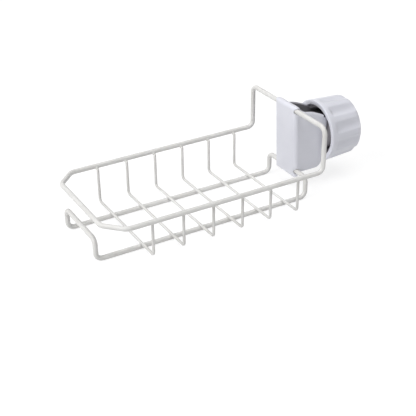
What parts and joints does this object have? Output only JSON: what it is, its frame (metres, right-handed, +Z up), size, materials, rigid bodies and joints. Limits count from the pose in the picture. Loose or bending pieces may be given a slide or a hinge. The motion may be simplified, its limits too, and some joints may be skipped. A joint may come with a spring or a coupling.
{
  "type": "sink organizer rack",
  "caption": "Coated wire basket with an upright end frame, held to a faucet neck by a housing with a threaded jaw, a sliding presser and a large hand nut.",
  "frame": {"origin": "middle of the rack's length and width, at the underside of the base rails", "axes": "+X along the basket from its tip to the clamp's nut, +Y across the basket, +Z up"},
  "size_m": [0.2548, 0.109, 0.0787],
  "materials": {
    "coated_wire": "smooth satin coating in warm white over round steel wire",
    "housing_plastic": "cool light grey moulded plastic, semi-gloss",
    "dark_plastic": "dark grey moulded plastic, matt",
    "dark_rubber": "near-black soft rubber",
    "screw_steel": "plain zinc-plated steel"
  },
  "bodies": {
    "rack": {"rim_wire": "coated_wire", "base_wire": "coated_wire", "cross_wire_1": "coated_wire", "cross_wire_2": "coated_wire", "cross_wire_3": "coated_wire", "cross_wire_4": "coated_wire", "cross_wire_5": "coated_wire", "cross_wire_6": "coated_wire", "front_cover": "housing_plastic", "clamp_body": "housing_plastic", "threaded_jaw": "dark_plastic", "cover_screw_lower": "screw_steel", "cover_screw_upper": "screw_steel", "grip_liner": "dark_rubber"},
    "presser": {"presser_block": "dark_plastic", "presser_pad": "dark_rubber", "swivel_screw": "screw_steel", "swivel_washer": "screw_steel"},
    "nut": {"clamp_nut": "housing_plastic", "nut_thread_sleeve": "dark_plastic", "nut_end_cap": "housing_plastic"}
  },
  "joints": [
    {"name": "presser_travel", "type": "slide", "parent": "rack", "child": "presser", "axis": [1, 0, 0], "range_m": [0, 0.012]},
    {"name": "nut_turn", "type": "hinge", "parent": "presser", "child": "nut", "pos_m": [0.0946, 0, 0.0457], "axis": [1, 0, 0], "range_deg": [0, 1080]}
  ],
  "couplings": [
    {"joint": "presser_travel", "follows": "nut_turn", "m_per_rad": 0.00063662}
  ]
}
